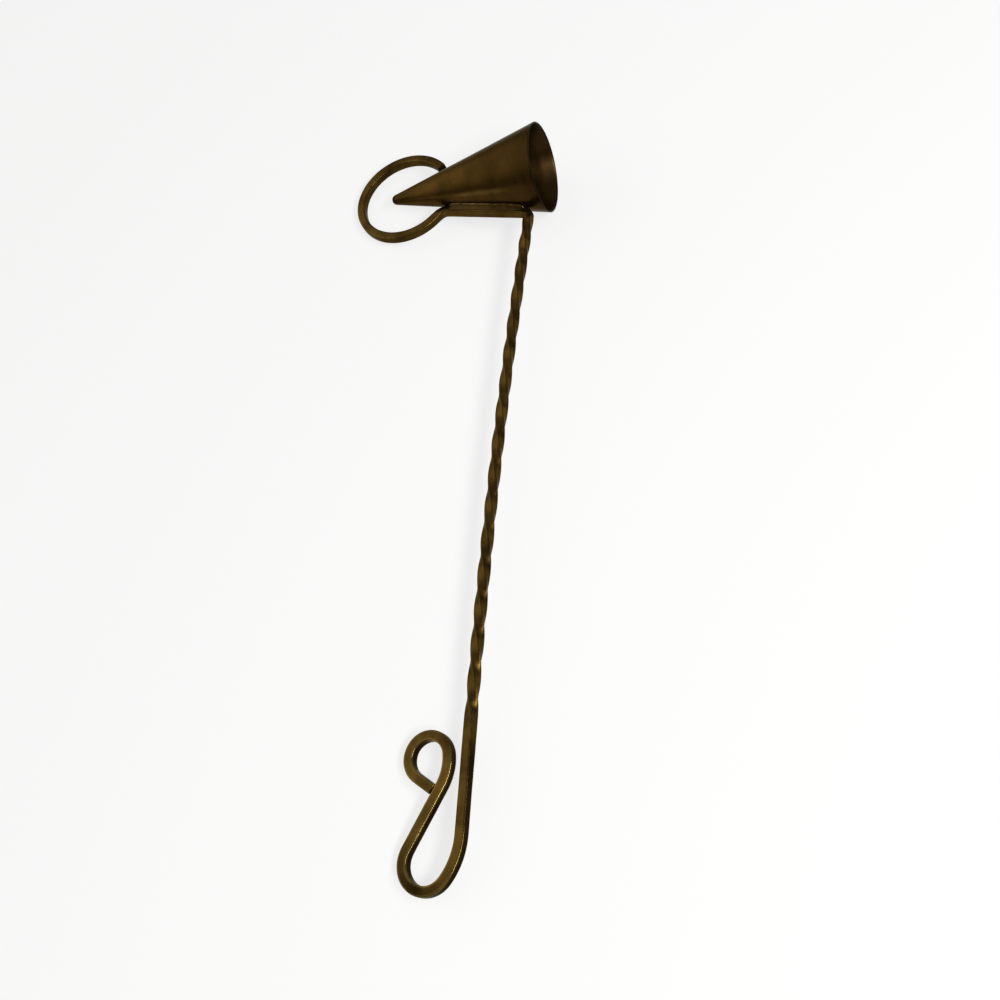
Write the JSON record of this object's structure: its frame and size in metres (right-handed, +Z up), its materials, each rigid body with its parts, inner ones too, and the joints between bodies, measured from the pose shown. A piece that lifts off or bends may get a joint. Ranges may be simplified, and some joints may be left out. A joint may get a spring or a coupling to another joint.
{
  "type": "candle snuffer",
  "caption": "Hand-made brass candle snuffer: sheet cone on a twisted square-bar stem, with a ring around the cone's tip and a looped handle that ends in a hanging eye.",
  "frame": {"origin": "centre of the bounding box on the table that the snuffer lies on", "axes": "+Y along the stem from the handle to the cone, +Z up from the table, +X towards the cone's mouth"},
  "size_m": [0.0774, 0.2712, 0.0316],
  "materials": {
    "aged_brass_bar": "dark aged patina, semi-gloss, edges worn brighter",
    "aged_brass_sheet": "dark aged patina, semi-gloss, blotchy",
    "darkened_hard_solder": "dull dark patina"
  },
  "bodies": {
    "root": {"snuffer_cone": "aged_brass_sheet", "cone_tip_bead": "darkened_hard_solder", "tip_ring": "aged_brass_bar", "saddle_bar": "aged_brass_bar", "saddle_solder_front": "darkened_hard_solder", "saddle_solder_back": "darkened_hard_solder", "twisted_stem": "aged_brass_bar", "handle_loop": "aged_brass_bar", "hanging_eye": "aged_brass_bar"}
  },
  "joints": []
}
